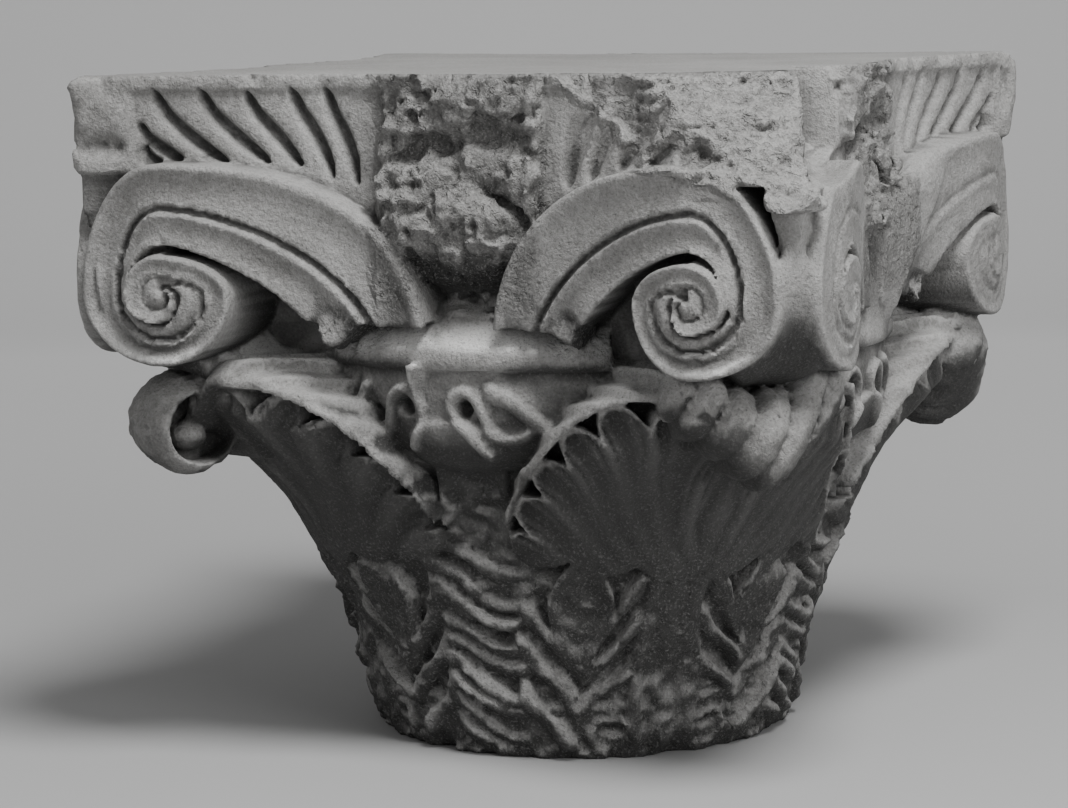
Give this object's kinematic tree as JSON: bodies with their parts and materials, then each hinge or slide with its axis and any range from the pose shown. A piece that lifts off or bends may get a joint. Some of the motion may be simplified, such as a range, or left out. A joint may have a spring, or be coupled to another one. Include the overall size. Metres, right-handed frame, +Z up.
{
  "type": "column capital",
  "caption": "Carved stone column capital with corner leaves, double-ribbon volutes and a hollow-sided slab, one corner broken. It stands on its round foot.",
  "frame": {"origin": "centre of the round lower bed, at floor level", "axes": "+Z up the column's axis to the upper bed; -Y towards the face that the picture shows most, +X to its right"},
  "size_m": [0.4687, 0.4729, 0.4],
  "materials": {
    "stone": "weathered marble, finely dressed on the volutes and bell, coarse where it is broken"
  },
  "bodies": {
    "root": {"column_capital": "stone"}
  },
  "joints": []
}
